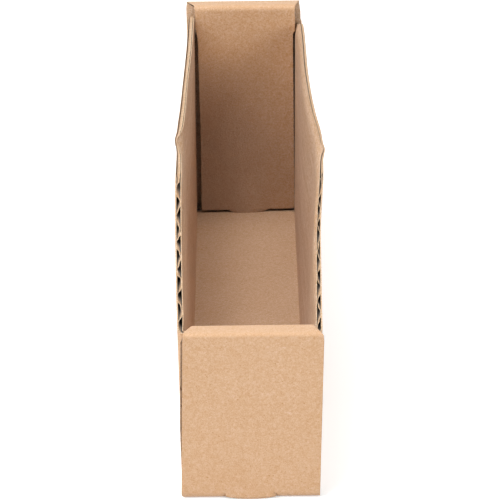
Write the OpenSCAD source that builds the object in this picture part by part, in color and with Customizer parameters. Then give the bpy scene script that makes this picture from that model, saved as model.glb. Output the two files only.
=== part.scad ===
// Open-fronted parts bin, die-cut from one sheet of corrugated board and folded without glue.
// X is to the right, the low front faces -Y, Z is up, and the underside of the floor is at z = 0.
// Lengths are in millimetres.

/* [Inside size] */
// Clear width between the side walls at the floor
inside_w = 50.8; // [40:0.1:150]
// Clear depth between the front and back inner panels
inside_d = 304.8; // [220:0.1:450]
// Clear height under the top of the back wall
back_inside_h = 114.3; // [100:0.1:180]
// Clear height under the top of the front wall
front_inside_h = 74.5; // [50:0.1:85]

/* [Board] */
// Thickness of the corrugated board
board_t = 3; // [2.6:0.1:3.6]
// Thickness of the flat liner on each face of the board
liner_t = 0.45; // [0.3:0.05:0.5]
// Thickness of the wavy paper between the liners
medium_t = 0.4; // [0.2:0.05:0.5]
// Distance from one wave of the board to the next
flute_pitch = 6.35; // [5:0.05:8]
// How far the open waves run into the board behind a cut edge
flute_run = 16; // [5:1:25]
// Board that is left above the highest open wave
flute_roof = 0.6; // [0.3:0.1:2]

/* [Folds] */
// Inside radius of each fold
fold_r = 0.5; // [0.2:0.1:1.5]
// Outside radius of the creases along the top of the end walls
crease_r = 1.7; // [0.5:0.1:2.5]
// Gap between the layers of board in an end wall
layer_gap = 0.5; // [0.3:0.1:1]

/* [Side walls] */
// How far the top of the side walls lies below the top of the back wall
wall_drop = 6.3; // [4:0.1:12]
// How far the front end of the side walls lies below the top of the front wall
wall_front_drop = 1.3; // [0:0.1:2.5]
// Distance from the front of the bin to the shoulder, where the sloping edge turns level
shoulder_d = 91; // [70:1:150]
// Radius that blends the sloping edge into the level one
shoulder_r = 25; // [10:1:60]
// Distance from the front of the bin to the place where the side walls bulge most
bulge_d = 130; // [100:1:180]
// Outward lean of the side walls at the front end
front_lean = 2.2; // [0:0.1:3]
// Outward lean of the side walls where they bulge most
bulge_lean = 5; // [0:0.1:6]
// Outward lean of the side walls at the back end
back_lean = 0.9; // [0:0.1:3]

/* [Ears] */
// Gap between the free ends of the two ears in an end wall
ear_gap = 4; // [1:0.5:12]
// Gap between the front ears and the strip above them
front_ear_gap = 1; // [0.5:0.1:10]
// How far the back ears lie below the top of the side walls
back_ear_drop = 9.5; // [3:0.1:20]
// Chamfer at the free corners of the ears
ear_chamfer = 5; // [1:0.5:8]
// Gap between the ears and the floor
ear_lift = 0.8; // [0.6:0.1:2]

/* [End walls] */
// How far the outer panels reach past the side walls at the floor, on each side
panel_reach = 1.1; // [0:0.1:2]
// Gap between the inner panels and the side walls, on each side
inner_gap = 0.5; // [0.3:0.1:2]
// Gap between the inner panels and the floor, beside the locking tab
inner_lift = 1.3; // [0.5:0.1:3]
// Distance from the outer face at which the top strips start to narrow towards the inner panels
taper_start = 1; // [0.5:0.1:2]

/* [Locks] */
// Width of the locking tabs at the top of their slots
tab_w = 18.6; // [10:0.1:30]
// How far the tabs widen above their slots, on each side
tab_flare = 1.6; // [0.5:0.1:4]
// How far the tabs narrow towards their ends, on each side
tab_taper = 1; // [0.5:0.1:2]
// Height of the tabs' ends above the underside of the floor
tab_lift = 0.3; // [0:0.1:1]
// Gap between a locking tab and its slot, on each side
slot_gap = 0.4; // [0.2:0.1:1]
// Radius of the half-moon that fills the fold in front of each slot
half_moon_r = 40; // [20:1:60]

/* [Hidden] */

$fn = 48;
board_colour = [0.85, 0.69, 0.53];
quarter_turn = 90;

// Folds
outer_r = fold_r + board_t;
mid_r = fold_r + board_t / 2;
end_wall_t = 3 * board_t + 2 * layer_gap;

// Overall sizes
bin_d = inside_d + 2 * end_wall_t;
back_h = back_inside_h + board_t;
front_h = front_inside_h + board_t;
front_y = -bin_d / 2;

// Widths, counted from the middle of the bin
inside_half = inside_w / 2;
floor_half = inside_half - fold_r;
panel_half = inside_half + board_t + panel_reach;
inner_half = inside_half - inner_gap;

// The ears lie one gap behind the outer panels, and the side walls start where their folds end
ear_d = board_t + layer_gap;
wall_start_d = ear_d + outer_r;
wall_end_d = bin_d - wall_start_d;
corner_gap = layer_gap;
ear_tip_x = ear_gap / 2;

// Top edge of the side walls: a slope from the front end, tangent to the arc before the shoulder
rear_top = back_h - wall_drop;
front_top = front_h - wall_front_drop;
slope_run = shoulder_d - wall_start_d;
slope_drop = rear_top - front_top;
arc_offset = shoulder_r - slope_drop;
slope_angle = asin(shoulder_r / norm([slope_run, arc_offset])) - atan2(arc_offset, slope_run);
arc_start_d = shoulder_d - shoulder_r * sin(slope_angle);
arc_start_z = rear_top - shoulder_r * (1 - cos(slope_angle));

// Resolution of the side walls
slope_steps = 12;
shoulder_steps = 6;
rear_steps = 24;
fold_steps = 6;
high_fold_steps = 3;

// Waves of the board: half the height that the wavy paper travels, and the angle where a wave is shut
wave_height = (board_t - 2 * liner_t - medium_t) / 2;
wave_steps = 6;
wave_shut = 130;
wave_half = wave_shut / 360 * flute_pitch;
wave_spacing = flute_pitch / 2;
top_wave_z = rear_top - flute_roof - wave_half;
wave_count = floor((top_wave_z - front_top) / wave_spacing) + 1;
cut_margin = 0.5;

// Height of the top edge of a side wall at a distance from the front of the bin
function wall_top(d) =
    d >= shoulder_d ? rear_top :
    d >= arc_start_d ? rear_top - shoulder_r + sqrt(pow(shoulder_r, 2) - pow(shoulder_d - d, 2)) :
    front_top + (d - wall_start_d) * tan(slope_angle);

// Distance from the front of the bin at which the top edge of a side wall has a height
function edge_d(z) =
    z >= arc_start_z ? shoulder_d - sqrt(pow(shoulder_r, 2) - pow(z - rear_top + shoulder_r, 2)) :
    wall_start_d + (z - front_top) / tan(slope_angle);

// Outward lean of a side wall, at the height of its rear top edge
function lean(d) =
    d <= wall_start_d ? front_lean :
    d >= wall_end_d ? back_lean :
    d < bulge_d
        ? front_lean + (bulge_lean - front_lean) * (d - wall_start_d) / (bulge_d - wall_start_d)
        : back_lean
            + (bulge_lean - back_lean)
            * pow(cos(quarter_turn * (d - bulge_d) / (wall_end_d - bulge_d)), 3);

// Outward shift of a side wall at a height, from nothing at its fold with the floor
function shift(d, z) = lean(d) * (z - outer_r) / (rear_top - outer_r);

// Four corners of the board's section, from the point midway through it and its outward normal
function section(x, d, normal, low, high) =
    let (
        inner = [x, front_y + d] - normal * board_t / 2,
        outer = [x, front_y + d] + normal * board_t / 2,
        low_shift = shift(d, low),
        high_shift = shift(d, high)
    )
    [
        [inner[0] + low_shift, inner[1], low],
        [outer[0] + low_shift, outer[1], low],
        [outer[0] + high_shift, outer[1], high],
        [inner[0] + high_shift, inner[1], high]
    ];

// Sections of an ear and its fold, from the free end to the side wall.
// facing is -1 at the front and 1 at the back, and the fold's top steps down to the ear's.
function ear_sections(facing, ear_top, fold_top) =
    let (
        centre_d = facing < 0 ? wall_start_d : wall_end_d,
        ear_mid_d = centre_d + facing * mid_r,
        ear_low = board_t + ear_lift,
        normal = [0, facing]
    )
    concat(
        [
            section(ear_tip_x, ear_mid_d, normal, ear_low + ear_chamfer, ear_top - ear_chamfer),
            section(ear_tip_x + ear_chamfer, ear_mid_d, normal, ear_low, ear_top)
        ],
        [
            for (step = [0:fold_steps - 1])
            let (
                angle = quarter_turn * (1 - step / fold_steps),
                outward = [cos(angle), facing * sin(angle)],
                high = step >= fold_steps - high_fold_steps ? fold_top : ear_top
            )
            section(floor_half + mid_r * outward[0], centre_d + mid_r * outward[1], outward, ear_low, high)
        ]
    );

// Distances from the front of the bin, evenly spaced from one to just before the other
function stations(from, to, steps) = [for (step = [0:steps - 1]) from + (to - from) * step / steps];

// Sections of a side wall between its two ear folds: along the slope, the shoulder and the level edge
function wall_sections() = [
    for (d = concat(
        stations(wall_start_d, arc_start_d, slope_steps),
        stations(arc_start_d, shoulder_d, shoulder_steps),
        stations(shoulder_d, wall_end_d, rear_steps),
        [wall_end_d]
    ))
    section(inside_half + board_t / 2, d, [1, 0], outer_r, wall_top(d))
];

function reversed(list) = [for (i = [len(list) - 1:-1:0]) list[i]];

// Triangles of a closed skin over a list of four-cornered sections
function skin_faces(count) = concat(
    [[0, 2, 1], [0, 3, 2]],
    [
        for (i = [0:count - 2], corner = [0:3])
        let (
            next = (corner + 1) % 4,
            a = 4 * i + corner,
            b = 4 * i + next,
            c = 4 * (i + 1) + next,
            d = 4 * (i + 1) + corner
        )
        each [[a, b, c], [a, c, d]]
    ],
    [[4 * count - 4, 4 * count - 3, 4 * count - 2], [4 * count - 4, 4 * count - 2, 4 * count - 1]]
);

// Quarter ring of board between the floor and the front outer panel
module end_fold() {
    translate([-panel_half, front_y + outer_r, outer_r])
        rotate([90, 0, 90])
            rotate([0, 0, 2 * quarter_turn])
                rotate_extrude(angle = quarter_turn)
                    translate([fold_r, 0])
                        square([board_t, 2 * panel_half]);
}

// Quarter ring of board between the floor and the right side wall
module side_fold() {
    translate([floor_half, wall_end_d + front_y, outer_r])
        rotate([90, 0, 0])
            rotate([0, 0, -quarter_turn])
                rotate_extrude(angle = quarter_turn)
                    translate([fold_r, 0])
                        square([board_t, wall_end_d - wall_start_d]);
}

// Board of a given width between two heights, in the plane of an end wall
module end_panel(half, d, low, high) {
    translate([-half, front_y + d, low])
        cube([2 * half, board_t, high - low]);
}

// Hollow under one wave of the board, from a liner's inside to the wavy paper
module wave_profile() {
    points = [
        for (step = [0:wave_steps])
        let (angle = wave_shut * (2 * step / wave_steps - 1))
        [liner_t + wave_height * (1 + cos(angle)), angle / 360 * flute_pitch]
    ];
    polygon(concat([[liner_t, -wave_half]], points, [[liner_t, wave_half]]));
}

// Open wave behind the sloping edge of the right side wall, against its outer or inner liner
module open_wave(z, at_outer_liner) {
    start_d = max(edge_d(z - wave_half) - cut_margin, wall_start_d + cut_margin);
    end_d = edge_d(z + wave_half) + flute_run;
    start_x = inside_half + shift(start_d, z);
    end_x = inside_half + shift(end_d, z);
    turn = atan2(end_x - start_x, end_d - start_d);
    tilt = atan2(lean((start_d + end_d) / 2), rear_top - outer_r);
    translate([start_x, front_y + start_d, z])
        rotate([0, tilt, -turn])
            translate([at_outer_liner ? board_t : 0, 0, 0])
                mirror([at_outer_liner ? 1 : 0, 0, 0])
                    rotate([-90, 0, 0])
                        linear_extrude(height = norm([end_x - start_x, end_d - start_d]))
                            wave_profile();
}

// Right side wall with its two ears, bowed outwards, and its waves open along the sloping edge
module side_wall() {
    sections = concat(
        ear_sections(-1, front_h - board_t - front_ear_gap, front_top),
        wall_sections(),
        reversed(ear_sections(1, rear_top - back_ear_drop, rear_top))
    );
    difference() {
        polyhedron(points = [for (s = sections) each s], faces = skin_faces(len(sections)));
        for (i = [0:wave_count - 1])
            open_wave(top_wave_z - i * wave_spacing, i % 2 == 1);
    }
}

// Top of an end wall in plan: as wide as the outer panel in front, and tapered to clear the side walls
module roll_over_outline() {
    front_taper = front_y + taper_start;
    back_taper = front_y + wall_start_d;
    back_edge = front_y + end_wall_t;
    polygon([
        [-panel_half, front_y], [panel_half, front_y], [panel_half, front_taper],
        [inner_half, back_taper], [inner_half, back_edge], [-inner_half, back_edge],
        [-inner_half, back_taper], [-panel_half, front_taper]
    ]);
}

// Top of an end wall in section: one board thick, with a crisp crease at each edge
module roll_over_section() {
    square([end_wall_t, board_t - crease_r]);
    translate([crease_r, 0])
        square([end_wall_t - 2 * crease_r, board_t]);
    for (d = [crease_r, end_wall_t - crease_r])
        translate([d, board_t - crease_r])
            circle(r = crease_r);
}

// Roll-over top of an end wall: two creases and the strip between them
module roll_over(height) {
    intersection() {
        translate([-panel_half, front_y, height - board_t])
            rotate([90, 0, 90])
                linear_extrude(height = 2 * panel_half)
                    roll_over_section();
        translate([0, 0, height - board_t])
            linear_extrude(height = board_t)
                roll_over_outline();
    }
}

// Tab under an inner panel, flared above the floor and narrower at its end, that locks into the slot
module locking_tab() {
    half = tab_w / 2;
    translate([0, front_y + end_wall_t, 0])
        rotate([90, 0, 0])
            linear_extrude(height = board_t)
                polygon([
                    [-half + tab_taper, tab_lift], [half - tab_taper, tab_lift], [half, board_t],
                    [half + tab_flare, board_t + inner_lift], [-half - tab_flare, board_t + inner_lift],
                    [-half, board_t]
                ]);
}

// Half-moon that stays upright in the outer panel where the slot breaks the fold
module half_moon() {
    half = tab_w / 2 + slot_gap;
    intersection() {
        end_panel(half, 0, 0, outer_r);
        translate([0, front_y + board_t, half_moon_r])
            rotate([90, 0, 0])
                cylinder(h = board_t, r = half_moon_r);
    }
}

// Front end wall of a given height: outer panel, roll-over top, inner panel and its lock
module end_wall(height) {
    end_panel(panel_half, 0, outer_r, height - board_t);
    roll_over(height);
    end_panel(inner_half, end_wall_t - board_t, board_t + inner_lift, height - board_t);
    locking_tab();
    half_moon();
}

// Front edge of the floor with the fold up to the outer panel, wider than the floor between its folds
module floor_end() {
    end_fold();
    translate([-panel_half, front_y + outer_r, 0])
        cube([2 * panel_half, wall_start_d - outer_r - corner_gap, board_t]);
}

// Slot at the front edge of the floor, through the fold
module lock_slot() {
    half = tab_w / 2 + slot_gap;
    translate([-half, front_y - slot_gap, -slot_gap])
        cube([2 * half, end_wall_t + 2 * slot_gap, outer_r + slot_gap]);
}

// Floor with its folds and the two slots for the locking tabs
module floor_panel() {
    difference() {
        union() {
            translate([-floor_half, front_y + outer_r, 0])
                cube([2 * floor_half, bin_d - 2 * outer_r, board_t]);
            floor_end();
            mirror([0, 1, 0]) floor_end();
        }
        lock_slot();
        mirror([0, 1, 0]) lock_slot();
    }
    side_fold();
    mirror([1, 0, 0]) side_fold();
}

// The folded sheet
module bin() {
    color(board_colour) {
        floor_panel();
        end_wall(front_h);
        mirror([0, 1, 0]) end_wall(back_h);
        side_wall();
        mirror([1, 0, 0]) side_wall();
    }
}

bin();
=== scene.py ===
import math

import bmesh
import bpy
import numpy as np
from mathutils import Matrix, Vector


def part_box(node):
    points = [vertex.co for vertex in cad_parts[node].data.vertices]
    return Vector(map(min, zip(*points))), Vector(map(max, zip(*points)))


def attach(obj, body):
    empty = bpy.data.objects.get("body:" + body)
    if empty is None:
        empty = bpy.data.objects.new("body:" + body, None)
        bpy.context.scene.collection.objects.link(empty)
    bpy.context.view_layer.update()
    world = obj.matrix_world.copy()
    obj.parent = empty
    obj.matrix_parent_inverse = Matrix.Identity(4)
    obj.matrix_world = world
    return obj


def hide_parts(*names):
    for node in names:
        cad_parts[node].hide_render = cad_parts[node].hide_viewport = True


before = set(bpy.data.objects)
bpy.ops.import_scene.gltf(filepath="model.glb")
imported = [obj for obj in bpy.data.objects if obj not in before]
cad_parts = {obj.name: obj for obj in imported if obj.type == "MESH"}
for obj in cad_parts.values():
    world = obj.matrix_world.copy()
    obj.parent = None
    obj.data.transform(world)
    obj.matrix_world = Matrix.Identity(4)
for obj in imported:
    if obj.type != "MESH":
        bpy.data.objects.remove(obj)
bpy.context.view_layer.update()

# Sizes are in millimetres, and depths are counted from the front face of the bin
MM = 0.001
low_corner, high_corner = (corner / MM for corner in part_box("bin"))
FRONT_Y = low_corner.y
BIN_D = high_corner.y - low_corner.y
BACK_H = high_corner.z
FRONT_H = 77.5
TINY = 1e-6

# Board: two liners with a wavy medium between them
BOARD_T = 3.0
LINER_T = 0.4
MEDIUM_T = 0.34
FLUTE_PITCH = 6.35
WAVE_H = (BOARD_T - 2 * LINER_T - MEDIUM_T) / 2

# Folds and layers
FOLD_R = 0.5
CREASE_R = 1.7
SHARPEST_R = 0.3
LAYER_GAP = 0.5
OUTER_R = FOLD_R + BOARD_T
END_T = 3 * BOARD_T + 2 * LAYER_GAP
FOLD_STEPS = 6

# Widths, counted from the middle of the bin
INSIDE_HALF = 25.4
OUTSIDE_HALF = INSIDE_HALF + BOARD_T
FLOOR_HALF = INSIDE_HALF - FOLD_R
PANEL_HALF = 29.5
INNER_HALF = 24.7

# Locks
TAB_HALF = 9.3
TAB_FLARE = 1.7
TAB_TAPER = 0.8
TAB_LOW = 0.3
TAB_BOW = 1.4
TAB_ROOT_SHARE = (TAB_HALF + TAB_FLARE) / INNER_HALF
SLOT_HALF = 8.9
SLOT_END = END_T + 0.1
HALF_MOON_R = 50.0
HALF_MOON_HALF = 10.8
INNER_LIFT = 1.3

# Side walls
WALL_START = BOARD_T + LAYER_GAP + OUTER_R
WALL_END = BIN_D - WALL_START
REAR_TOP = BACK_H - 6.3
FRONT_TOP = FRONT_H - 1.3
SHOULDER_D = 91.0
SHOULDER_R = 25.0
EAR_LOW = BOARD_T + 0.8
EAR_TIP = 2.0
EAR_CHAMFER = 5.0
FRONT_EAR_TOP = FRONT_H - BOARD_T - 1.0
BACK_EAR_TOP = REAR_TOP - 9.5

# Columns of the floor and the end walls, counted from the middle
HALF_COLUMNS = (0.0, 3.0, 6.0, 7.5, SLOT_HALF, HALF_MOON_HALF, TAB_ROOT_SHARE * PANEL_HALF, 17.0, 21.0)
FLOOR_X = np.array(sorted({side * x for side in (-1, 1) for x in HALF_COLUMNS}))

# Painted shade in slits and hollows, a darker and greyer colour: how far off the next face may be, how open
# the place is, what the painted shade leaves of the paper's colour and of its saturation, and the clearness
# at which the saturation is whole again
CREVICE_REACH = 5.0
CREVICE_OPENNESS = (0.12, 0.42)
CREVICE_SHADED_SHARE = 0.25
CREVICE_SHADE_SATURATION = 0.2
CREVICE_UNSHADED = 0.8

# Where that painted shade begins and ends: above the underside, below the rim and behind the front panel
CREVICE_SHADE_OVER_Z = (1.5, 2.8)
CREVICE_SHADE_UNDER_Z = (98.0, 104.0)
CREVICE_SHADE_BEHIND_Y = (FRONT_Y + 4.0, FRONT_Y + 8.0)

# Painted shade on the inside of the back wall, darker and greyer towards its foot; the last two go from left
# to right
BACK_SHADE_Z = (40.0, 92.0)
BACK_FACE_BEHIND_Y = (FRONT_Y + 300.0, FRONT_Y + 310.0)
BACK_FACE_BEFORE_Y = (FRONT_Y + BIN_D - 7.0, FRONT_Y + BIN_D - 5.0)
BACK_SHADE_X = (-INNER_HALF, INNER_HALF)
BACK_SHADE_DARKER = (0.17, 0.07)
BACK_SHADE_GREYER = (0.42, 0.1)

# Grain of the inside of the back wall
BACK_FELT = 0.1

# Fibres on the open edges of the side walls: how many an edge has, where they start and where they point
EDGE_FIBRES = 26
EDGE_FIBRES_END = SHOULDER_D + 4.0
EDGE_FIBRE_UNDER = 0.1
EDGE_FIBRE_LENGTHS = (0.25, 0.7)
EDGE_FIBRE_R = 0.06
EDGE_FIBRE_SPREAD = [0.8, 0.4, 0.3]
EDGE_FIBRE_LEAN = [0, -0.3, 0.7]

# A tuft on the left wall's inner edge
TUFT_D = 71.0
TUFT_UNDER = 0.2
TUFT_DIRECTIONS = ((1, -0.2, -0.5), (1, -0.2, 0.1), (1, -0.2, 0.6))
TUFT_LENGTH = 1.3
TUFT_R = 0.1

# Fibres on the edges of the back inner panel
PANEL_FIBRE_LENGTHS = (0.2, 0.45)
PANEL_FIBRE_R = 0.08
PANEL_FIBRE_SPREAD = [0.6, 0.2, 0.6]
PANEL_FIBRE_LEAN = [0, -0.5, -0.2]

# Round lights: name, place and size in metres, power in watts
LIGHTS = (
    ("top", (0, 0.1, 1.9), 1.2, 17.5),
    ("high_left", (-0.66, -0.66, 1.77), 1.0, 17),
    ("above_left", (-0.94, 0, 1.77), 1.0, 3),
    ("front_left", (-1.16, -1.16, 1.15), 1.0, 11.5),
    ("front_right", (1.28, -1.28, 0.88), 1.0, 16),
    ("low_left", (-1.85, -0.68, 0.32), 1.0, 13),
    ("back", (0, 1.7, 0.9), 1.2, 5.5),
)

SEED = 11
random = np.random.RandomState(SEED)


def smooth_curve(points):
    """A function through (position, value) points that doesn't overshoot them."""
    xs, ys = (np.array(column, float) for column in zip(*points))
    steps = np.diff(xs)
    slopes = np.diff(ys) / steps
    tangents = np.zeros(len(xs))
    tangents[0], tangents[-1] = slopes[0], slopes[-1]
    for i in range(1, len(xs) - 1):
        if slopes[i - 1] * slopes[i] > 0:
            tangents[i] = 2 * slopes[i - 1] * slopes[i] / (slopes[i - 1] + slopes[i])

    def curve(x):
        x = np.clip(np.asarray(x, float), xs[0], xs[-1])
        i = np.clip(np.searchsorted(xs, x, side="right") - 1, 0, len(xs) - 2)
        t = (x - xs[i]) / steps[i]
        return (
            (1 + 2 * t) * (1 - t) ** 2 * ys[i] + t * (1 - t) ** 2 * steps[i] * tangents[i]
            + t * t * (3 - 2 * t) * ys[i + 1] + t * t * (t - 1) * steps[i] * tangents[i + 1]
        )

    return curve


def smooth_step(x, low, high):
    """0 up to low and 1 from high on, with a smooth rise between them."""
    t = np.clip((np.asarray(x, float) - low) / (high - low), 0, 1)
    return t * t * (3 - 2 * t)


def bell(x, width):
    """1 at 0, falling away smoothly on both sides."""
    return np.exp(-((np.asarray(x, float) / width) ** 2))


def slow_noise(count, spread):
    """Random values along a line, smoothed over neighbours and brought back to unit spread."""
    raw = random.normal(size=count + 2 * spread)
    kernel = np.hanning(2 * spread + 3)
    values = np.convolve(raw, kernel, mode="same")[spread:spread + count]
    return values / max(values.std(), TINY)


slope_run = SHOULDER_D - WALL_START
arc_offset = SHOULDER_R - (REAR_TOP - FRONT_TOP)
SLOPE = math.asin(SHOULDER_R / math.hypot(slope_run, arc_offset)) - math.atan2(arc_offset, slope_run)
ARC_START = SHOULDER_D - SHOULDER_R * math.sin(SLOPE)


def wall_top(d):
    """Height of a side wall's top edge: a slope, a rounded shoulder and the level rear edge."""
    d = np.asarray(d, float)
    arc = REAR_TOP - SHOULDER_R + np.sqrt(np.maximum(SHOULDER_R**2 - (SHOULDER_D - d) ** 2, 0))
    slope = FRONT_TOP + (d - WALL_START) * math.tan(SLOPE)
    return np.where(d >= SHOULDER_D, REAR_TOP, np.where(d >= ARC_START, arc, slope))


def liner_depths(at_outside):
    """Depths of the two faces of a liner: the one that shows, and the one on the medium."""
    return (0, LINER_T) if at_outside else (BOARD_T, BOARD_T - LINER_T)


def in_metres(points):
    """Points with depths from the front face, in millimetres, as points of the frame."""
    return ((np.array(points) + [0, FRONT_Y, 0]) * MM).tolist()


def add_object(name, data):
    thing = bpy.data.objects.new(name, data)
    bpy.context.scene.collection.objects.link(thing)
    return thing


class Sheet:
    """One layer of paper with two faces, welded from grids of points and closed along its cut edges."""

    WELD_DIGITS = 2

    def __init__(self):
        self.index = {}
        self.front = []
        self.back = []
        self.cells = []

    def corner(self, front, back):
        """The number of a pair of points, one on each face. Pairs in the same place are one pair."""
        key = tuple(round(value, self.WELD_DIGITS) for value in front)
        if key not in self.index:
            self.index[key] = len(self.front)
            self.front.append(front)
            self.back.append(back)
        return self.index[key]

    def add(self, front, back, keep=None):
        """front and back are rows of columns of points; keep says which cells between them are there."""
        rows, columns = front.shape[:2]
        at = [
            [self.corner(tuple(front[i, j]), tuple(back[i, j])) for j in range(columns)]
            for i in range(rows)
        ]
        for i in range(rows - 1):
            for j in range(columns - 1):
                if keep is None or keep[i, j]:
                    self.cells.append((at[i][j], at[i][j + 1], at[i + 1][j + 1], at[i + 1][j]))

    def rims(self, cells):
        """Faces along the cut edges, which are the sides that only one cell has."""
        count = len(self.front)
        uses = {}
        for cell in cells:
            for a, b in zip(cell, cell[1:] + cell[:1]):
                uses.setdefault(frozenset((a, b)), []).append((a, b))
        single = [pairs[0] for pairs in uses.values() if len(pairs) == 1]
        return [(a, b, b + count, a + count) for a, b in single]

    def build(self, name, face_material, edge_material):
        count = len(self.front)
        cells = [cell for cell in self.cells if len(set(cell)) == 4]
        faces = cells + [tuple(i + count for i in reversed(cell)) for cell in cells]
        mesh = bpy.data.meshes.new(name)
        mesh.from_pydata(in_metres(self.front + self.back), [], faces + self.rims(cells))
        mesh.materials.append(face_material)
        mesh.materials.append(edge_material)
        on_rim = np.arange(len(mesh.polygons)) >= len(faces)
        mesh.polygons.foreach_set("use_smooth", ~on_rim)
        mesh.polygons.foreach_set("material_index", on_rim.astype(np.int32))
        shape = bmesh.new()
        shape.from_mesh(mesh)
        loose = [v for v in shape.verts if not v.link_faces]
        bmesh.ops.delete(shape, geom=loose, context="VERTS")
        bmesh.ops.recalc_face_normals(shape, faces=shape.faces)
        shape.to_mesh(mesh)
        shape.free()
        return add_object(name, mesh)


class SideWall:
    """A side wall with its two ears, as columns along the sheet from one ear's end to the other's."""

    # Columns: two behind the front fold, fine ones along the open waves, coarse ones behind them
    FIRST_D = (8.0, 9.2)
    FINE_END = 101.0
    FINE_STEP = 0.4
    COARSE_STEP = 2.0
    EAR_COLUMNS = 4

    # Rows: their distances below the top edge, and how many there are from the foot up to those
    TOP_ROWS = np.array([16, 11, 7.5, 5, 3.4, 2.2, 1.3, 0.7, 0.3, 0])
    LOW_ROWS = 9

    # How far below the top edge its wear reaches
    CRUSH_REACH = 3.0
    RAGGED_REACH = 1.5
    WORN_REACH = 1.5
    BUCKLE_REACH = 9.0
    ROLL_REACH = 2.6
    DENT_LOW = 11.0
    DENT_REACH = 6.0
    FLARE_REACH = 4.0

    # How far along the top edge it goes, and how squarely sideways the outer liner's peak faces
    LEVEL_RUN = 8.0
    ROLL_RUN = 10.0
    FLARE_RUN = 65.0
    REAR_DROP_RUN = 16.0
    PEAK_BEFORE_END = 1.5
    PEAK_RUN = 2.5
    PEAK_FACING = 0.95

    # Degrees over which a fold comes down to the top of its ear
    FOLD_DROP = 25

    # How much thicker the outer liner is along the frayed slope, and thinner along the worn level edge
    FRAYED_SHARE = 0.7
    WORN_SHARE = 0.5

    # How far the liners' cut edges go up and down, and where and by what share they grow calmer
    RAGGED_FINE = 0.1
    RAGGED_SLOW = 0.16
    RAGGED_SPREAD = 4
    CALM_D = (SHOULDER_D - 4, SHOULDER_D + 6)
    CALM_SHARE = 0.6

    # The medium: how far down it goes, its rows, how uneven its cut edge is, and how far down its cap fades
    WAVE_BAND = 20.0
    WAVE_ROWS = 44
    ROW_CROWDING = 1.3
    MEDIUM_SUNK = 0.2
    MEDIUM_RAGGED = 0.12
    MEDIUM_RAGGED_SPREAD = 2
    MEDIUM_BENT = 0.3
    MEDIUM_BENT_SPREAD = 3
    CAP_FADE = (1.5, 4.0)

    def __init__(
        self, side, foot, lean, edge_t, buckle, fold_high, wave_pitch, wave_phase, cap, rear_drop,
        rear_ear_top, outer_peak, rear_flare,
    ):
        """side is -1 at the left; lean and edge_t are (depth, value) points along the wall.

        foot is how far out the wall stands at the floor, in front and behind, and lean how far out it stands
        at the height of the rear edge. edge_t is how thick the board is at the top edge. buckle is the
        (depth, width, amount, roll, dent) of the buckle in that edge: roll is how far the very edge rolls
        out, and dent how far the wall goes in below it. fold_high is the angles, in degrees from the wall, to
        which the front and back folds keep its height. wave_pitch is the height of one of the medium's waves,
        and wave_phase a height where they touch the outer liner. cap is where the medium lies under the level
        edge, from 1 at the outer liner to -1 at the inner one: at the edge, lower down, and how far down that
        is. rear_drop is how much the rear corner of the top edge is worn down, rear_ear_top how high the ear
        behind it reaches, outer_peak how far the outer liner still stands up there, and rear_flare how far
        the edge bends out there.
        """
        self.side = side
        self.foot = smooth_curve([(WALL_START, foot[0]), (WALL_END, foot[1])])
        self.lean = smooth_curve(lean)
        self.buckle = buckle
        self.fold_high = fold_high
        self.wave_pitch = wave_pitch
        self.wave_phase = wave_phase
        self.cap = cap
        self.rear_drop = rear_drop
        self.outer_peak = outer_peak
        self.rear_flare = rear_flare
        rear_count = int((BIN_D - self.FINE_END) / self.COARSE_STEP)
        self.wall_d = np.concatenate([
            [WALL_START, *self.FIRST_D],
            np.arange(SLOT_END, self.FINE_END, self.FINE_STEP),
            np.linspace(self.FINE_END, BIN_D - SLOT_END, rear_count),
            [WALL_END],
        ])
        columns = self.ear(-1, FRONT_EAR_TOP) + self.wall() + self.ear(1, rear_ear_top)[::-1]
        self.x, self.d, self.nx, self.nd, self.low, self.high = np.array(columns).T
        self.is_wall = self.low <= OUTER_R
        self.is_level = smooth_step(self.d, SHOULDER_D, SHOULDER_D + self.LEVEL_RUN)
        self.edge_t = np.where(self.is_wall, smooth_curve(edge_t)(self.d), BOARD_T)

    def ear(self, facing, top):
        """Columns of an ear and its fold: place of the outer face, its normal, and the heights it spans."""
        centre = WALL_START if facing < 0 else WALL_END
        fold_top = FRONT_TOP if facing < 0 else REAR_TOP - self.rear_drop
        high_to = self.fold_high[0 if facing < 0 else 1]
        face = centre + facing * OUTER_R
        columns = [(EAR_TIP, face, 0, facing, EAR_LOW + EAR_CHAMFER, top - EAR_CHAMFER)]
        for x in np.linspace(EAR_TIP + EAR_CHAMFER, FLOOR_HALF, self.EAR_COLUMNS):
            columns.append((x, face, 0, facing, EAR_LOW, top))
        fold_steps = 2 * FOLD_STEPS
        for step in range(1, fold_steps):
            angle = math.pi / 2 * (1 - step / fold_steps)
            drop = smooth_step(math.degrees(angle), high_to, high_to + self.FOLD_DROP)
            columns.append((
                FLOOR_HALF + OUTER_R * math.cos(angle), centre + facing * OUTER_R * math.sin(angle),
                math.cos(angle), facing * math.sin(angle), EAR_LOW, fold_top + (top - fold_top) * float(drop),
            ))
        return columns

    def wall(self):
        """Columns of the wall between its two folds, in the same form."""
        worn = self.rear_drop * smooth_step(self.wall_d, WALL_END - self.REAR_DROP_RUN, WALL_END)
        top = wall_top(self.wall_d) - worn
        return [(OUTSIDE_HALF, d, 1, 0, OUTER_R, z) for d, z in zip(self.wall_d, top)]

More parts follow.
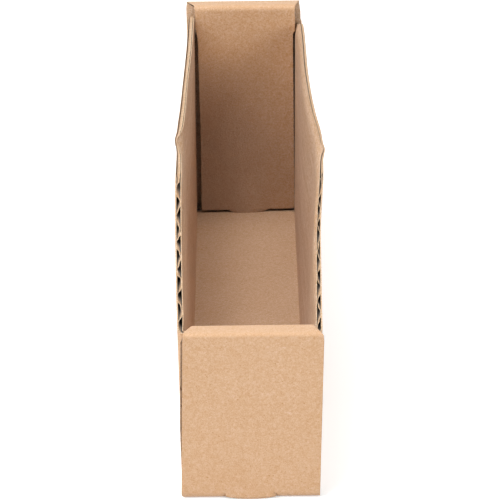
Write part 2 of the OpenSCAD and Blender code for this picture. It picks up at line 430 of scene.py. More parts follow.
    def shift_out(self, z, under):
        """How far out the wall stands at heights z: its lean, its buckle and its rear flare."""
        foot = self.foot(self.d)
        top_shift = self.lean(self.d) * (self.high - OUTER_R) / (REAR_TOP - OUTER_R)
        shift = foot + (top_shift - foot) * (z - OUTER_R) / (self.high - OUTER_R)
        buckle_d, width, amount, roll, dent = self.buckle
        rolled = bell(self.d - buckle_d, self.ROLL_RUN)
        shift = shift + amount * bell(self.d - buckle_d, width) * bell(under, self.BUCKLE_REACH)
        shift = shift + roll * rolled * bell(under, self.ROLL_REACH)
        shift = shift - dent * rolled * bell(under - self.DENT_LOW, self.DENT_REACH)
        flare = self.rear_flare * smooth_step(self.d, WALL_END - self.FLARE_RUN, WALL_END)
        return shift + flare * bell(under, self.FLARE_REACH)

    def points(self, z, depth):
        """Points at heights z (rows of columns), at a depth of the board behind its outer face."""
        under = np.maximum(self.high - z, 0)
        thin = 1 - (1 - self.edge_t / BOARD_T) * bell(under, self.CRUSH_REACH)
        x = self.x - self.nx * depth * thin + self.shift_out(z, under)
        d = self.d - self.nd * depth * thin
        return np.stack(np.broadcast_arrays(self.side * x, d, z), axis=-1)

    def noise(self, spread):
        return slow_noise(len(self.d), spread)

    def ragged_edge(self):
        """How far up or down the cut edge of a liner goes at each column."""
        ragged = self.RAGGED_FINE * self.noise(0) + self.RAGGED_SLOW * self.noise(self.RAGGED_SPREAD)
        return ragged * self.is_wall * (1 - self.CALM_SHARE * smooth_step(self.d, *self.CALM_D))

    def add_liner(self, sheet, at_outside):
        edge = self.ragged_edge()
        if at_outside:
            peak = bell(self.d - WALL_END + self.PEAK_BEFORE_END, self.PEAK_RUN)
            edge = edge + self.outer_peak * peak * (self.nx > self.PEAK_FACING)
        low = np.linspace(0, 1, self.LOW_ROWS)[:-1, None]
        bend = self.high - self.TOP_ROWS[0]
        lower = self.low + low * (bend - self.low)
        upper = self.high - self.TOP_ROWS[:, None] + edge * bell(self.TOP_ROWS, self.RAGGED_REACH)[:, None]
        z = np.concatenate([lower, upper])
        face, back = liner_depths(at_outside)
        if at_outside:
            change = self.FRAYED_SHARE * (1 - self.is_level) - self.WORN_SHARE * self.is_level
            back = LINER_T * (1 + change * bell(self.high - z, self.WORN_REACH))
        sheet.add(self.points(z, face), self.points(z, back))

    def add_medium(self, sheet):
        """The wavy paper near the top edge, bent to and fro at the cut."""
        edge = self.MEDIUM_RAGGED * self.noise(self.MEDIUM_RAGGED_SPREAD) - self.MEDIUM_SUNK
        bent = self.MEDIUM_BENT * self.noise(self.MEDIUM_BENT_SPREAD)
        under = self.WAVE_BAND * np.linspace(1, 0, self.WAVE_ROWS)[:, None] ** self.ROW_CROWDING
        at_cut = bell(under, self.RAGGED_REACH)
        z = self.high - under + edge * self.is_wall * at_cut
        wave = np.cos(2 * math.pi * (self.high - under - self.wave_phase) / self.wave_pitch)
        wave = wave + bent * self.is_wall * at_cut
        at_edge, below, cap_h = self.cap
        capped = self.is_level * (1 - smooth_step(under, *self.CAP_FADE))
        cap = at_edge + (below - at_edge) * np.clip(under / cap_h, 0, 1)
        wave = np.clip(wave + (cap - wave) * capped, -1, 1)
        middle = BOARD_T / 2 - WAVE_H * wave
        sheet.add(self.points(z, middle - MEDIUM_T / 2), self.points(z, middle + MEDIUM_T / 2))


def add_floor(sheet, at_outside, left_wall, right_wall):
    """The floor and its two side folds, with the slots at both ends left out."""
    angles = np.linspace(math.pi / 2, 0, FOLD_STEPS + 1)
    wall_d = left_wall.wall_d
    left_foot, right_foot = left_wall.foot(wall_d), right_wall.foot(wall_d)

    def section(depth):
        radius = OUTER_R - depth
        left = np.stack([-FLOOR_HALF - radius * np.sin(angles), OUTER_R - radius * np.cos(angles)], axis=1)
        right = left[::-1] * [-1, 1]
        flat = np.stack([FLOOR_X, np.full(len(FLOOR_X), depth)], axis=1)
        return np.concatenate([left, flat, right])

    def grid(depth):
        profile = section(depth)
        x, z = profile[:, :1], profile[:, 1:]
        x = x - left_foot * (x < -FLOOR_HALF + TINY) + right_foot * (x > FLOOR_HALF - TINY)
        return np.stack(np.broadcast_arrays(x, wall_d, z), axis=-1)

    face, back = liner_depths(at_outside)
    outer = grid(face)
    middle = (outer[:-1, :-1] + outer[1:, 1:]) / 2
    at_ends = (middle[..., 1] < SLOT_END) | (middle[..., 1] > BIN_D - SLOT_END)
    sheet.add(outer, grid(back), ~((np.abs(middle[..., 0]) < SLOT_HALF) & at_ends))


class EndWall:
    """An end wall: the fold at the floor, the outer panel, the roll-over strip and the inner panel."""

    # Rows of the outer panel, rows and columns of the medium, and its share of the width
    PANEL_ROWS = 48
    MEDIUM_PANEL_ROWS = 12
    MEDIUM_INNER_STEP = 6.0
    MEDIUM_COLUMNS = 112
    MEDIUM_SHARE = 0.965

    # Teeth of the knife along the sides of the inner panel, and their unevenness from row to row
    TOOTH_PITCH = 1.5
    TOOTH_H = 0.16
    TOOTH_RAGGED = 0.5
    TOOTH_NOISE_COUNT = 2000
    TOOTH_NOISE_STEP = 7

    # Distances below the top over which the inner panel widens at the left and at the right
    FLARE_UNDER = ((19.0, 10.0), (15.5, 13.5))

    # Heights over which the bulge above the tab dies away
    BULGE_Z = (4.0, 26.0)

    # Round lower left corner of the outer panel
    CORNER_R = 2.4

    # Column inside the panel's edges, and the torn lip at the left one: how wide it is, the row and the
    # heights where it begins, and how unevenly it curls
    EDGE_COLUMN_X = FLOOR_HALF + 2.0
    LIP_RUN = 0.25
    LIP_FIRST_ROW = 2
    LIP_FADE = (4.0, 40.0)
    LIP_TORN = 0.6
    LIP_LIMITS = (0.1, 1.25)

    # Crushed ends of the strip: the share of the half width where they start, and how flat each one is
    END_CRUSH_START = 0.86
    END_CRUSH = (0.6, 0.88)

    # Rows of the half-moon and of the tab
    HALF_MOON_ROWS = 4
    TAB_HEIGHTS = np.array([BOARD_T + INNER_LIFT, 3.9, 3.5, 3.2, BOARD_T, 2.6, 1.5, TAB_LOW])

    # Places for fibres: points across the lower edge, and the first row down the sides
    EDGE_POINTS = 101
    EDGE_FIRST_ROW = 30

    def __init__(
        self, height, at_back, tapers, outer_shift, inner_shifts, inner_bow, inner_flare, inner_twist,
        inner_crease, inner_step, lip,
    ):
        """tapers are the (depth, half width) points of the strip's left and right ends.

        outer_shift moves the top of the outer panel to the right, and inner_shifts the top and the bottom of
        the inner one. inner_bow is how far its left edge is hollow, inner_flare how much wider its top is at
        the left and the right, and inner_twist how far its lower left corner stands in. inner_crease is the
        radius over which it turns down, and inner_step the distance between its rows. lip is how far the
        inner liner comes out past the left edge of the outer panel, and how far forward it curls there.
        """
        self.height = height
        self.at_back = at_back
        self.tapers = [smooth_curve(points) for points in tapers]
        self.outer_shift = outer_shift
        self.inner_shifts = inner_shifts
        self.inner_bow = inner_bow
        self.inner_flare = inner_flare
        self.inner_twist = inner_twist
        self.lip = lip
        self.inner_crease = inner_crease
        self.inner_step = inner_step
        self.tooth_noise = slow_noise(self.TOOTH_NOISE_COUNT, 1)

    def rows(self, depth, inner_step, panel_rows=PANEL_ROWS):
        """Rows of the sheet at a depth behind its outer face, and the numbers of some of them."""
        depth = np.asarray(depth, float)
        turn = np.linspace(0, math.pi / 2, FOLD_STEPS + 1)
        low_r = OUTER_R - depth
        top_r = np.maximum(CREASE_R - depth, SHARPEST_R)
        top = self.height - depth - top_r
        rows = [(WALL_START + 0 * depth, depth), (WALL_START - LAYER_GAP + 0 * depth, depth)]
        rows += [(OUTER_R - low_r * math.sin(a), OUTER_R - low_r * math.cos(a)) for a in turn]
        panel_row = len(rows) - 1
        rows += [(depth, OUTER_R + (top - OUTER_R) * s) for s in np.linspace(0, 1, panel_rows)[1:-1]]
        strip_row = len(rows)
        rows += [(depth + top_r * (1 - math.cos(a)), top + top_r * math.sin(a)) for a in turn]
        far_r = np.maximum(self.inner_crease - depth, SHARPEST_R)
        far, bend = END_T - depth - far_r, self.height - depth - far_r
        rows += [(far + far_r * math.sin(a), bend + far_r * math.cos(a)) for a in turn]
        inner_row = len(rows) - 1
        low = BOARD_T + INNER_LIFT
        count = int((self.height - low) / inner_step)
        rows += [(END_T - depth, bend + (low - bend) * s) for s in np.linspace(0, 1, count)[1:]]
        d, z = (np.array(np.broadcast_arrays(*column)) for column in zip(*rows))
        return d, z, panel_row, strip_row, inner_row

    def panel_half(self, shares, z):
        """Half width of the outer panel, less at its round lower left corner."""
        rise = np.clip(self.CORNER_R - z, 0, self.CORNER_R)
        return PANEL_HALF - (self.CORNER_R - np.sqrt(self.CORNER_R**2 - rise**2)) * (shares < 0)

    def inner_half(self, shares, z, up):
        """Half width of the inner panel: toothed, hollow at the left and wider at the top."""
        tooth = np.abs((z / self.TOOTH_PITCH) % 1 - 0.5) * 2 - 0.5
        numbers = (np.arange(len(z)) * self.TOOTH_NOISE_STEP) % self.TOOTH_NOISE_COUNT
        ragged = self.tooth_noise[numbers][:, None]
        half = INNER_HALF + self.TOOTH_H * (tooth + self.TOOTH_RAGGED * ragged)
        half = half - self.inner_bow * 4 * up * (1 - up) * (shares < 0)
        left_flare, right_flare = (
            flare * smooth_step(z, self.height - start, self.height - end)
            for flare, (start, end) in zip(self.inner_flare, self.FLARE_UNDER)
        )
        return half + np.where(shares < 0, left_flare, right_flare)

    def inner_stand(self, shares, z, up):
        """How far the inner panel stands into the bin: its twist and the bulge above its tab."""
        twist = self.inner_twist * (1 - shares) / 2 * (1 - up)
        bow = TAB_BOW * np.maximum(1 - (shares / TAB_ROOT_SHARE) ** 2, 0)
        return twist + bow * (1 - smooth_step(z, *self.BULGE_Z))

    def grid(self, shares, depth, inner_step, panel_rows=PANEL_ROWS):
        """Points at shares of the half width (columns), at a depth of the board behind its outer face."""
        shares = np.asarray(shares, float)
        depth = np.broadcast_to(depth, shares.shape)
        d, z, panel_row, strip_row, inner_row = self.rows(depth, inner_step, panel_rows)
        crush = np.where(shares < 0, *self.END_CRUSH)
        crushed = depth * (1 - crush * smooth_step(np.abs(shares), self.END_CRUSH_START, 1))
        crushed_d, crushed_z = self.rows(crushed, inner_step, panel_rows)[:2]
        strip = slice(strip_row, inner_row)
        d[strip], z[strip] = crushed_d[strip], crushed_z[strip]
        number = np.arange(len(d))[:, None]
        up = np.clip((z - OUTER_R) / (self.height - OUTER_R), 0, 1)
        across = np.clip(d / END_T, 0, 1) * (number > panel_row)
        top_shift, low_shift = self.inner_shifts
        shift = self.outer_shift * up * (1 - across) + (low_shift + (top_shift - low_shift) * up) * across
        taper = np.where(shares < 0, self.tapers[0](d), self.tapers[1](d))
        half = np.where(number >= strip_row, taper, self.panel_half(shares, z))
        half = np.where(number > inner_row, self.inner_half(shares, z, up), half)
        stand = self.inner_stand(shares, z, up) * (number > inner_row)
        return self.place(shares * half + shift, d + stand, z)

    def place(self, x, d, z):
        """Points at depths behind this end's outer face."""
        d = BIN_D - d if self.at_back else d
        return np.stack(np.broadcast_arrays(x, d, z), axis=-1)

    def add_liner(self, sheet, at_outside, feet):
        """feet is how far out the left and right side walls stand at the floor here."""
        face, back = liner_depths(at_outside)
        edge = [self.EDGE_COLUMN_X, PANEL_HALF - self.LIP_RUN, PANEL_HALF]
        left, right = (np.array([FLOOR_HALF + foot] + edge) for foot in feet)
        x = np.concatenate([-left[::-1], FLOOR_X, right])
        shares = x / PANEL_HALF
        mid_x = np.abs(x[:-1] + x[1:]) / 2
        outer = self.grid(shares, face, self.inner_step)
        inner = self.grid(shares, back, self.inner_step)
        panel_row, strip_row = self.rows(0, self.inner_step)[2:4]
        if not at_outside:
            self.curl_lip(outer, inner, slice(panel_row + self.LIP_FIRST_ROW, strip_row))
        keep = np.ones((len(outer) - 1, len(x) - 1), bool)
        keep[0] = (mid_x >= SLOT_HALF) & (mid_x < FLOOR_HALF)
        keep[1:panel_row, mid_x < HALF_MOON_HALF] = False
        sheet.add(outer, inner, keep)
        self.add_half_moon(sheet, x[np.abs(x) <= HALF_MOON_HALF + TINY], face, back)
        tab_x = np.abs(shares) <= TAB_ROOT_SHARE + TINY
        self.add_tab(sheet, outer[-1, tab_x], inner[-1, tab_x])

    def inner_edges(self):
        """Points along the sides of the inner panel's face and along its lower edge beside the tab."""
        shares = np.linspace(-1, 1, self.EDGE_POINTS)
        points = self.grid(shares, 0, self.inner_step)
        first = self.rows(0, self.inner_step)[4] + self.EDGE_FIRST_ROW
        beside = np.abs(shares) > TAB_ROOT_SHARE
        return points[first:, 0], points[first:, -1], points[-1, beside]

    def curl_lip(self, face, back, rows):
        """The torn left edge of the inner liner, standing out and curled towards the outer one."""
        out, forward = self.lip
        torn = np.clip(1 + self.LIP_TORN * slow_noise(rows.stop - rows.start, 0), *self.LIP_LIMITS)
        for points in (face, back):
            upper = smooth_step(points[rows, 0, 2], *self.LIP_FADE)
            points[rows, 0, 0] -= out * upper
            points[rows, 0, 1] -= forward * torn * upper

    def add_half_moon(self, sheet, x, face, back):
        """The part of the outer panel that stays where the slot breaks the fold, with a round lower edge."""
        edge = HALF_MOON_R - np.sqrt(HALF_MOON_R**2 - x**2)
        z = OUTER_R + np.linspace(0, 1, self.HALF_MOON_ROWS)[:, None] * (edge - OUTER_R)
        sheet.add(self.place(x, face, z), self.place(x, back, z))

    def add_tab(self, sheet, face_top, back_top):
        """The tab goes on from the last row of the inner panel, narrowing in a round curve to its slot."""
        heights = self.TAB_HEIGHTS
        fall = np.clip((BOARD_T + INNER_LIFT - heights) / INNER_LIFT, 0, 1)
        half = TAB_HALF + TAB_FLARE * (1 - fall) ** 2 - TAB_TAPER * (heights < BOARD_T)
        middle = face_top[:, 0].mean()

        def grid(row):
            across = (row[:, 0] - middle) / (row[-1, 0] - middle)
            x = middle + across * half[:, None]
            return np.stack(np.broadcast_arrays(x, row[:, 1], heights[:, None]), axis=-1)

        sheet.add(grid(face_top), grid(back_top))

    def add_medium(self, sheet):
        coarse = (self.MEDIUM_INNER_STEP, self.MEDIUM_PANEL_ROWS)
        shares = np.linspace(-self.MEDIUM_SHARE, self.MEDIUM_SHARE, self.MEDIUM_COLUMNS)
        wave = WAVE_H * np.sin(2 * math.pi * shares * PANEL_HALF / FLUTE_PITCH)
        middle = BOARD_T / 2 - wave
        panel_row = self.rows(0, *coarse)[2]
        front = self.grid(shares, middle - MEDIUM_T / 2, *coarse)
        back = self.grid(shares, middle + MEDIUM_T / 2, *coarse)
        sheet.add(front[panel_row:], back[panel_row:])


class Fibres:
    """Loose paper fibres: thin tapered threads, each with a bend."""

    SEGMENTS = 4
    SIDES = 3
    MOST_BENT = 0.5
    TAPER = 0.7

    def __init__(self):
        self.points = []
        self.faces = []

    def add(self, root, direction, length, radius):
        """A thread from its root; direction is where it points, before it bends."""
        along = np.array(direction, float) / np.linalg.norm(direction)
        across = np.cross(along, random.normal(size=3))
        across /= np.linalg.norm(across)
        third = np.cross(along, across)
        bend = random.uniform(-self.MOST_BENT, self.MOST_BENT) * length
        first = len(self.points)
        for share in np.linspace(0, 1, self.SEGMENTS + 1):
            middle = root + along * length * share + across * bend * share**2
            for turn in np.arange(self.SIDES) * 2 * math.pi / self.SIDES:
                ring = across * math.cos(turn) + third * math.sin(turn)
                self.points.append(middle + ring * radius * (1 - self.TAPER * share))
        for step in range(self.SEGMENTS):
            at = first + step * self.SIDES
            for i in range(self.SIDES):
                j = (i + 1) % self.SIDES
                self.faces.append((at + i, at + j, at + self.SIDES + j, at + self.SIDES + i))
        self.faces.append(tuple(range(first, first + self.SIDES))[::-1])
        self.faces.append(tuple(range(len(self.points) - self.SIDES, len(self.points))))

    def build(self, name, material):
        mesh = bpy.data.meshes.new(name)
        mesh.from_pydata(in_metres(self.points), [], self.faces)
        mesh.materials.append(material)
        return add_object(name, mesh)


class Paper:
    """Nodes of one unbleached paper: cloudy pulp, fine fibres, dark and pale flecks, a felt-like bump."""

    # Nearly all of a noise lies between these, and this is its middle
    NOISE_RANGE = (0.3, 0.7)
    NOISE_MIDDLE = 0.5

    # How squarely a face looks sideways, or to the front, before it counts as doing so
    SIDEWAYS = (0.6, 0.8)
    FORWARD = (-0.7, -0.4)

    # How much more saturated darker pulp is
    DARK_RICHNESS = 1.3

    # Finish: gloss, roughness, and the height of the bump with its share of flutes and of streaks
    SPECULAR = 0.5
    SHEEN_ROUGHNESS = 0.5
    ROUGHNESS = (0.58, 0.76)
    BUMP_H = 0.2
    WASHBOARD_SHARE = 0.12
    STREAK_SHARE = 0.3

    OPENNESS_SAMPLES = 8

    def __init__(
        self, name, colour, variation, bump, sheen, streak, shaded_share=CREVICE_SHADED_SHARE, in_hollows=False,
    ):
        """variation is how uneven the shade is, and streak how strong the streaks on the side walls are.

        The share that follows streak is what the painted shade of slits and hollows leaves of the colour.
        in_hollows is for paper on which that shade is painted up to the rim and down to the underside.
        """
        self.material = bpy.data.materials.new(name)
        self.material.use_nodes = True
        self.tree = self.material.node_tree
        self.shader = self.tree.nodes["Principled BSDF"]
        self.place = self.node("ShaderNodeTexCoord").outputs["Object"]
        self.normal = self.node("ShaderNodeNewGeometry").outputs["Normal"]
        self.across = self.across_flutes()
        self.shaded_share = shaded_share
        self.streak = streak
        self.set_colour(colour, variation, in_hollows)
        self.set_finish(bump, sheen)

    def node(self, kind, **settings):
        node = self.tree.nodes.new(kind)
        for key, value in settings.items():
            setattr(node, key, value)
        return node

    def link(self, value, socket):
        if isinstance(value, (int, float, tuple)):
            socket.default_value = value
        else:
            self.tree.links.new(value, socket)

    def noise(self, scale, detail, stretch=(1, 1, 1)):
        """scale is in waves per metre, and a stretch below 1 draws the noise out along that axis."""
        mapping = self.node("ShaderNodeMapping")
        mapping.inputs["Scale"].default_value = stretch
        self.link(self.place, mapping.inputs["Vector"])
        texture = self.node("ShaderNodeTexNoise")
        texture.inputs["Scale"].default_value = scale
        texture.inputs["Detail"].default_value = detail
        self.link(mapping.outputs["Vector"], texture.inputs["Vector"])
        return texture.outputs["Fac"]

    def remap(self, value, low, high, to_low, to_high):
        node = self.node("ShaderNodeMapRange")
        for key, number in zip(("From Min", "From Max", "To Min", "To Max"), (low, high, to_low, to_high)):
            node.inputs[key].default_value = number
        self.link(value, node.inputs["Value"])
        return node.outputs["Result"]

    def math(self, operation, *values):
        node = self.node("ShaderNodeMath", operation=operation)
        for value, socket in zip(values, node.inputs):
            self.link(value, socket)
        return node.outputs["Value"]

    def product(self, first, *others):
        for other in others:
            first = self.math("MULTIPLY", first, other)
        return first

    def parts(self, vector):
        node = self.node("ShaderNodeSeparateXYZ")
        self.link(vector, node.inputs["Vector"])
        return node.outputs

    def along(self, axis, limits, low, high):
        """Goes from low to high between two places, in millimetres, along an axis of the bin."""
        near, far = (limit * MM for limit in limits)
        return self.remap(self.parts(self.place)[axis], near, far, low, high)

    def across_flutes(self):
        """1 on the side walls, where the flutes lie one above the other, and 0 on the floor and the ends."""
        return self.remap(self.math("ABSOLUTE", self.parts(self.normal)["X"]), *self.SIDEWAYS, 0, 1)

    def choose(self, on_side_walls, elsewhere):
        mix = self.node("ShaderNodeMix")
        self.link(self.across, mix.inputs["Factor"])
        self.link(elsewhere, mix.inputs["A"])
        self.link(on_side_walls, mix.inputs["B"])
        return mix.outputs["Result"]

    def pulp(self, variation):
        """Light and dark of the paper, as factors around 1."""

        def spread(noise, amount):
            return self.remap(noise, *self.NOISE_RANGE, 1 - amount * variation, 1 + amount * variation)

        long_streaks = self.choose(self.noise(220, 4, (1, 0.06, 1)), self.NOISE_MIDDLE)
        short_streaks = self.choose(self.noise(900, 2, (1, 0.3, 1)), self.NOISE_MIDDLE)
        dark_flecks = self.remap(self.noise(1500, 1), 0.71, 0.77, 1, 0.72)
        pale_flecks = self.remap(self.noise(650, 2, (0.35, 1, 1)), 0.66, 0.8, 1, 1.08)
        clouds = spread(self.noise(70, 3), 0.35)
        fibres = spread(self.noise(2300, 2), 2.6)
        clumps = spread(self.noise(1100, 2, (0.7, 1, 1)), 1.3)
        streaks = self.product(
            spread(long_streaks, 2.2 * self.streak), spread(short_streaks, 2.8 * self.streak),
        )
        return self.product(dark_flecks, pale_flecks, clouds, fibres, clumps, streaks)

    def set_colour(self, colour, variation, in_hollows):
        on_back = self.back_wall_inside()
        felt = self.remap(self.noise(1500, 3), *self.NOISE_RANGE, -BACK_FELT, BACK_FELT)
        shade = self.product(self.pulp(variation), self.math("MULTIPLY_ADD", on_back, felt, 1.0))
        # Painted shade: the colour turns darker and greyer in slits and hollows
        clear = self.clearance(in_hollows)
        # Painted shade on the back wall's inside: darker and greyer towards its foot and its left side
        back_shade = self.product(on_back, self.along("Z", BACK_SHADE_Z, 1, 0))
        richness = self.math("SUBTRACT", 1 + self.DARK_RICHNESS, self.product(shade, self.DARK_RICHNESS))
        unshaded_saturation = self.remap(clear, self.shaded_share, CREVICE_UNSHADED, CREVICE_SHADE_SATURATION, 1)
        tint = self.node("ShaderNodeHueSaturation")
        tint.inputs["Color"].default_value = (*colour, 1)
        self.link(self.product(shade, clear, self.left_by_back_shade(back_shade, BACK_SHADE_DARKER)), tint.inputs["Value"])
        self.link(self.product(richness, unshaded_saturation, self.left_by_back_shade(back_shade, BACK_SHADE_GREYER)), tint.inputs["Saturation"])
        self.link(tint.outputs["Color"], self.shader.inputs["Base Color"])

    def clearance(self, in_hollows):
        """1 on open faces, and less in narrow slits and hollows, where shade is painted as a darker, greyer
        colour.
        """
        node = self.node("ShaderNodeAmbientOcclusion", samples=self.OPENNESS_SAMPLES)
        node.inputs["Distance"].default_value = CREVICE_REACH * MM
        clear = self.remap(node.outputs["AO"], *CREVICE_OPENNESS, self.shaded_share, 1)
        no_painted_shade = [self.along("Y", CREVICE_SHADE_BEHIND_Y, 1, 0)]
        if not in_hollows:
            no_painted_shade += [self.along("Z", CREVICE_SHADE_OVER_Z, 1, 0), self.along("Z", CREVICE_SHADE_UNDER_Z, 0, 1)]
        for share in no_painted_shade:
            clear = self.math("MAXIMUM", clear, share)
        return clear

    def back_wall_inside(self):
        """1 on the face of the back wall that looks into the bin, and 0 elsewhere."""
        facing = self.remap(self.parts(self.normal)["Y"], *self.FORWARD, 1, 0)
        return self.product(
            facing, self.along("Y", BACK_FACE_BEHIND_Y, 0, 1), self.along("Y", BACK_FACE_BEFORE_Y, 1, 0),
        )

    def left_by_back_shade(self, back_shade, loss):
        """What the painted shade on the back wall's inside leaves of a value; loss is what it takes at the
        left and at the right.
        """
        return self.math("SUBTRACT", 1.0, self.product(back_shade, self.along("X", BACK_SHADE_X, *loss)))

    def set_finish(self, strength, sheen):
        """Gloss, and a bump of felt, of the flutes that show through and of streaks on the side walls."""
        self.shader.inputs["Specular IOR Level"].default_value = self.SPECULAR
        self.shader.inputs["Sheen Weight"].default_value = sheen
        self.shader.inputs["Sheen Roughness"].default_value = self.SHEEN_ROUGHNESS
        roughness = self.remap(self.noise(700, 3), *self.NOISE_RANGE, *self.ROUGHNESS)
        self.link(roughness, self.shader.inputs["Roughness"])
        place = self.parts(self.place)
        flutes = self.choose(place["Z"], place["X"])
        washboard = self.math("SINE", self.product(flutes, 2 * math.pi / (FLUTE_PITCH * MM)))
        streaks = self.choose(self.noise(75, 2, (1, 0.08, 1)), 0.0)
        felt = self.noise(1800, 5)
        height = self.math("ADD", felt, self.product(washboard, self.WASHBOARD_SHARE))
        height = self.math("ADD", height, self.product(streaks, self.STREAK_SHARE * self.streak))
        bump = self.node("ShaderNodeBump")
        bump.inputs["Strength"].default_value = strength
        bump.inputs["Distance"].default_value = self.BUMP_H * MM
        self.link(height, bump.inputs["Height"])
        self.link(bump.outputs["Normal"], self.shader.inputs["Normal"])


def make_camera():
    """The photograph's camera: a long lens, looking down at the front of the bin."""
    pitch, yaw, roll = (math.radians(a) for a in (23.18, -0.066, -0.644))
    place = Vector((-0.4, FRONT_Y - 1026.0, 554.7)) * MM
    right = Vector((math.cos(yaw), math.sin(yaw), 0))
    forward = Vector((-math.sin(yaw) * math.cos(pitch), math.cos(yaw) * math.cos(pitch), -math.sin(pitch)))
    up = right.cross(forward)
    turned_right = right * math.cos(roll) + up * math.sin(roll)
    turned_up = up * math.cos(roll) - right * math.sin(roll)
    data = bpy.data.cameras.new("camera")
    data.lens = 196.4
    data.sensor_width = 36.0
    camera = add_object("camera", data)
    axes = Matrix((turned_right, turned_up, -forward)).transposed()
    camera.matrix_world = Matrix.Translation(place) @ axes.to_4x4()
    bpy.context.scene.camera = camera


def area_light(name, place, size, power):
    """A round light that shines on the middle of the bin."""
    target = Vector((0, 0, 0.06))
    data = bpy.data.lights.new(name, "AREA")
    data.shape = "DISK"
    data.size = size
    data.energy = power
    light = add_object(name, data)
    light.location = place
    light.rotation_mode = "QUATERNION"
    light.rotation_quaternion = (target - Vector(place)).to_track_quat("-Z", "Y")


def seen_as_background(tree):
    """1 for rays that should see the white background: camera, glossy and transmission rays."""
    path = tree.nodes.new("ShaderNodeLightPath")
    total = path.outputs["Is Camera Ray"]
    for name in ("Is Glossy Ray", "Is Transmission Ray"):
        larger = tree.nodes.new("ShaderNodeMath")
        larger.operation = "MAXIMUM"
        tree.links.new(total, larger.inputs[0])
        tree.links.new(path.outputs[name], larger.inputs[1])
        total = larger.outputs["Value"]
    return total


def make_world(strength):
    """Even light from all around, behind a white background."""
    scene = bpy.context.scene
    scene.view_settings.view_transform = "Standard"
    world = bpy.data.worlds.new("studio")
    scene.world = world
    world.use_nodes = True
    tree = world.node_tree
    light = tree.nodes["Background"]
    light.inputs["Color"].default_value = (1, 1, 1, 1)
    light.inputs["Strength"].default_value = strength
    white = tree.nodes.new("ShaderNodeBackground")
    mix = tree.nodes.new("ShaderNodeMixShader")
    tree.links.new(seen_as_background(tree), mix.inputs["Fac"])
    tree.links.new(light.outputs["Background"], mix.inputs[1])
    tree.links.new(white.outputs["Background"], mix.inputs[2])
    tree.links.new(mix.outputs["Shader"], tree.nodes["World Output"].inputs["Surface"])


def make_floor(glow_strength):
    """Pale floor that keeps the shadow and looks white around the bin. It is in metres."""
    reach = 6.0
    grey = 0.8
    corners = [(-reach, -reach, 0), (reach, -reach, 0), (reach, reach, 0), (-reach, reach, 0)]
    mesh = bpy.data.meshes.new("floor")
    mesh.from_pydata(corners, [], [(0, 1, 2, 3)])
    floor = add_object("floor", mesh)
    material = bpy.data.materials.new("floor")
    mesh.materials.append(material)
    material.use_nodes = True
    tree = material.node_tree
    tree.nodes.remove(tree.nodes["Principled BSDF"])
    matt = tree.nodes.new("ShaderNodeBsdfDiffuse")
    matt.inputs["Color"].default_value = (grey, grey, grey, 1)
    glow = tree.nodes.new("ShaderNodeEmission")
    lift = tree.nodes.new("ShaderNodeMath")
    lift.operation = "MULTIPLY"
    lift.inputs[1].default_value = glow_strength
    tree.links.new(seen_as_background(tree), lift.inputs[0])
    tree.links.new(lift.outputs["Value"], glow.inputs["Strength"])
    add = tree.nodes.new("ShaderNodeAddShader")
    tree.links.new(matt.outputs["BSDF"], add.inputs[0])
    tree.links.new(glow.outputs["Emission"], add.inputs[1])
    tree.links.new(add.outputs["Shader"], tree.nodes["Material Output"].inputs["Surface"])


make_camera()
make_world(strength=0.05)
make_floor(glow_strength=0.47)
for light in LIGHTS:
    area_light(*light)

outer_paper = Paper(
    "kraft_outer_liner", (0.57, 0.35, 0.198), variation=0.032, bump=0.75, sheen=0.14, streak=0.25,
).material
inner_paper = Paper(
    "kraft_inner_liner", (0.58, 0.382, 0.24), variation=0.06, bump=0.6, sheen=0.06, streak=0.6,
).material
edge_paper = Paper(
    "kraft_cut_edge", (0.55, 0.38, 0.235), variation=0.06, bump=0.5, sheen=0.06, streak=0.75,
).material
# The medium's hollows get painted shade at every height, keeping a larger share of the colour
medium_paper = Paper(
    "kraft_medium", (0.53, 0.355, 0.215), variation=0.05, bump=0.3, sheen=0.06, streak=0.75,
    shaded_share=0.45, in_hollows=True,
).material

left_wall = SideWall(
    side=-1,
    foot=(0.6, 1.35),
    lean=[(7, 2.35), (28, 3.05), (60, 3.4), (120, 3.3), (150, 3.6), (185, 2.75), (213, 2.2), (273, 1.15),
          (318, 0.95)],
    edge_t=[(7, 2.45), (16, 2.85), (100, 2.8), (118, 2.3), (128, 1.5), (138, 0.95), (147, 1.9), (160, 2.9),
            (176, 2.8), (213, 2.5), (265, 2.8), (318, 3.0)],
    buckle=(138.5, 5.5, 0.3, 0.75, 0.5),
    fold_high=(65, 10),
    wave_pitch=6.4,
    wave_phase=109.1,
    cap=(-0.7, 0.65, 0.35),
    rear_drop=0.0,
    rear_ear_top=BACK_EAR_TOP,
    outer_peak=0.0,
    rear_flare=0.0,
)
right_wall = SideWall(
    side=1,
    foot=(-0.75, -0.4),
    lean=[(7, 3.4), (50, 3.4), (70, 3.9), (90, 5.2), (118, 5.85), (137, 6.1), (176, 3.85), (197, 2.85),
          (218, 2.25), (238, 1.85), (263, 1.75), (290, 1.45), (306, 0.9), (318, 0.2)],
    edge_t=[(7, 3.0), (14, 2.6), (48, 2.1), (70, 1.8), (92, 1.9), (108, 1.6), (118, 1.2), (125, 0.95),
            (135, 1.3), (165, 1.6), (204, 1.7), (240, 1.75), (308, 1.7), (318, 2.4)],
    buckle=(125.0, 5.0, 0.6, 0.4, 0.0),
    fold_high=(20, 80),
    wave_pitch=6.0,
    wave_phase=109.4,
    cap=(1, -0.1, 0.3),
    rear_drop=4.5,
    rear_ear_top=REAR_TOP - 7.5,
    outer_peak=3.2,
    rear_flare=0.3,
)
walls = [left_wall, right_wall]

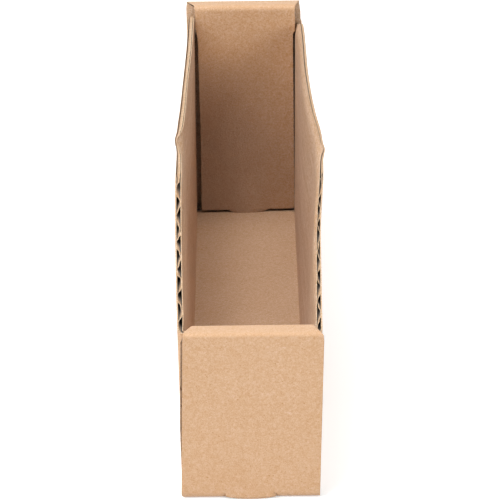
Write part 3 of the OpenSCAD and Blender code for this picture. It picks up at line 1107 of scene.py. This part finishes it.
front_end = EndWall(
    height=FRONT_H,
    at_back=False,
    tapers=[
        [(1.5, 29.3), (3.9, 28.8), (5.9, 28.0), (7.5, 26.8), (8.5, 25.8), (10, 24.7)],
        [(0, 29.3), (1.2, 28.2), (3.8, 26.9), (8, 25.3), (10, 24.7)],
    ],
    outer_shift=1.8,
    inner_shifts=(1.8, 0.3),
    inner_bow=0,
    inner_flare=(0, 0),
    inner_twist=0,
    inner_crease=CREASE_R,
    inner_step=4.0,
    lip=(0.9, 2.0),
)
back_end = EndWall(
    height=BACK_H,
    at_back=True,
    tapers=[
        [(0, 29.2), (1.3, 29.0), (5.4, 27.3), (8.5, 26.0), (10, 25.7)],
        [(0, 29.2), (2.0, 28.9), (6.5, 27.4), (8.8, 26.1), (10, 25.8)],
    ],
    outer_shift=-1.1,
    inner_shifts=(-0.22, 0.42),
    inner_bow=0.35,
    inner_flare=(1.0, 1.1),
    inner_twist=1.2,
    inner_crease=2.6,
    inner_step=0.5,
    lip=(0, 0),
)
ends = [front_end, back_end]


def make_liner(name, at_outside, paper):
    sheet = Sheet()
    for wall in walls:
        wall.add_liner(sheet, at_outside)
    add_floor(sheet, at_outside, left_wall, right_wall)
    for end in ends:
        feet = [wall.foot(WALL_END if end.at_back else WALL_START) for wall in walls]
        end.add_liner(sheet, at_outside, feet)
    return sheet.build(name, paper, edge_paper)


def make_medium():
    sheet = Sheet()
    for part in walls + ends:
        part.add_medium(sheet)
    return sheet.build("medium", medium_paper, edge_paper)


def fray_open_edges(fibres):
    for wall in walls:
        for depth in (LINER_T / 2, BOARD_T - LINER_T / 2):
            edge = wall.points(wall.high[None, :] - EDGE_FIBRE_UNDER, depth)[0]
            slope = np.flatnonzero(wall.is_wall & (wall.d < EDGE_FIBRES_END))
            for column in random.choice(slope, EDGE_FIBRES, replace=False):
                direction = random.normal(size=3) * EDGE_FIBRE_SPREAD + EDGE_FIBRE_LEAN
                fibres.add(edge[column], direction, random.uniform(*EDGE_FIBRE_LENGTHS), EDGE_FIBRE_R)


def add_tuft(fibres):
    column = np.argmin(np.abs(left_wall.d - TUFT_D))
    root = left_wall.points(left_wall.high[None, :] - TUFT_UNDER, BOARD_T)[0, column]
    for direction in TUFT_DIRECTIONS:
        fibres.add(root, direction, TUFT_LENGTH, TUFT_R)


def fray_inner_panel(fibres):
    for line in back_end.inner_edges():
        for root in line[random.choice(len(line), len(line) // 2, replace=False)]:
            direction = random.normal(size=3) * PANEL_FIBRE_SPREAD + PANEL_FIBRE_LEAN
            fibres.add(root, direction, random.uniform(*PANEL_FIBRE_LENGTHS), PANEL_FIBRE_R)


def make_fibres():
    fibres = Fibres()
    fray_open_edges(fibres)
    add_tuft(fibres)
    fray_inner_panel(fibres)
    return fibres.build("loose_fibres", edge_paper)


pieces = [
    make_liner("outer_liner", True, outer_paper),
    make_liner("inner_liner", False, inner_paper),
    make_medium(),
    make_fibres(),
]
for piece in pieces:
    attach(piece, "root")
    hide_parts("bin")
